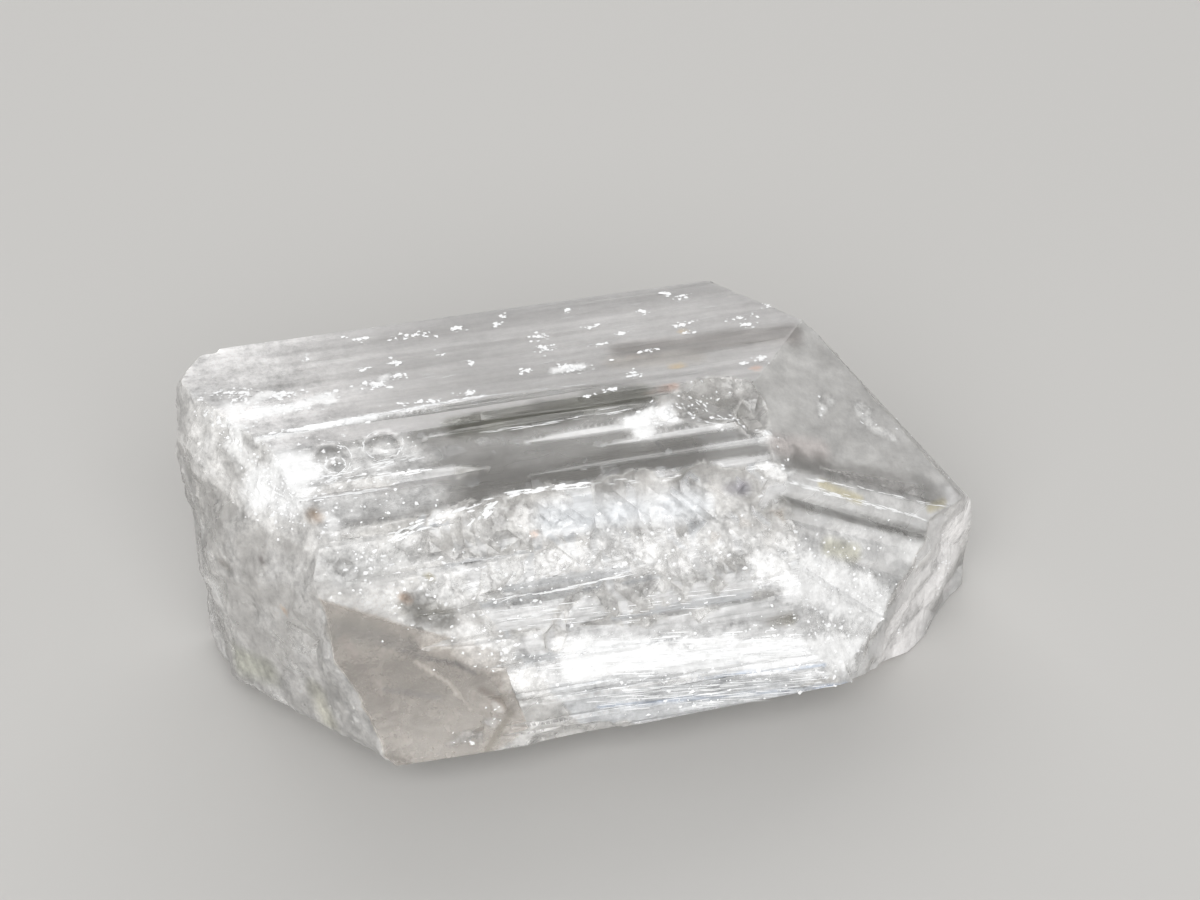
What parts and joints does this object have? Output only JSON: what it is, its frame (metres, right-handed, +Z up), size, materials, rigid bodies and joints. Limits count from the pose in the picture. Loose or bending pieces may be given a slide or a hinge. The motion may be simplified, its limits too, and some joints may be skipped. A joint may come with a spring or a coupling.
{
  "type": "danburite crystal specimen",
  "caption": "Translucent natural danburite prism lying on a side face, with a wedge-shaped termination at one end and a rough break at the other.",
  "frame": {"origin": "on the flat prism face that the crystal rests on, near the middle of that face, under the middle of the crystal", "axes": "+X along the crystal's c axis from the broken end to the tip, which is its longest extent; +Z up, straight out of the resting face; +Y to the back as pictured"},
  "size_m": [0.0371, 0.0202, 0.015],
  "materials": {
    "danburite": "clear to milky, with satin striated prism faces, frosted breaks and white inner veils"
  },
  "bodies": {
    "root": {"danburite_crystal": "danburite"}
  },
  "joints": []
}
